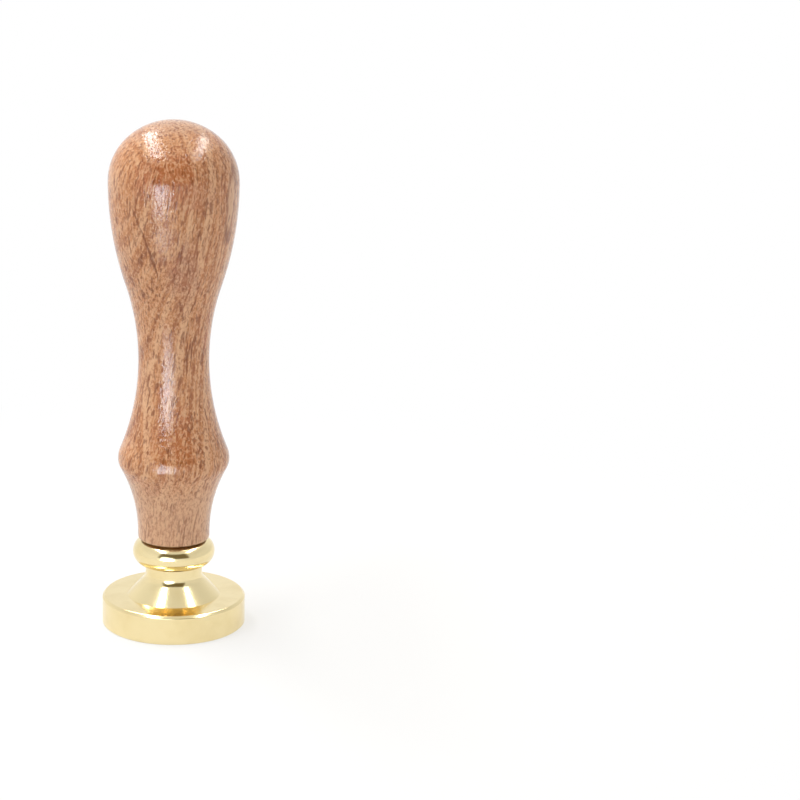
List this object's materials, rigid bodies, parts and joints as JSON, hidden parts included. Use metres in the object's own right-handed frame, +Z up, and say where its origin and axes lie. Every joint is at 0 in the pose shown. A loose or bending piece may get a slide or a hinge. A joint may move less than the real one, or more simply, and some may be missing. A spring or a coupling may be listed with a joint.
{
  "type": "wax seal stamp",
  "caption": "Upright stamp for sealing wax: a turned wooden grip with a bulb and a waist that unscrews from a brass head with an engraved round die.",
  "frame": {"origin": "centre of the engraved die face, the flat face that the stamp stands on", "axes": "+Z up the stamp's turning axis, from the die face to the crown of the handle; X and Y are level"},
  "size_m": [0.025, 0.025, 0.0894],
  "materials": {
    "lacquered_wood": "turned hardwood under gloss lacquer",
    "insert_brass": "machined and knurled",
    "plated_steel": "zinc-plated thread",
    "polished_brass": "turned and polished"
  },
  "bodies": {
    "head": {"seal_head": "polished_brass", "threaded_stud": "plated_steel"},
    "insert": {"threaded_insert": "insert_brass"},
    "handle": {"handle": "lacquered_wood"}
  },
  "joints": [
    {"name": "handle_lift", "type": "slide", "parent": "head", "child": "insert", "axis": [0, 0, 1], "range_m": [0, 0.01]},
    {"name": "handle_turn", "type": "hinge", "parent": "insert", "child": "handle", "pos_m": [0, 0, 0.0155], "axis": [0, 0, 1], "range_deg": [0, 3600]}
  ],
  "couplings": [
    {"joint": "handle_lift", "follows": "handle_turn", "m_per_rad": 0.00015915}
  ]
}
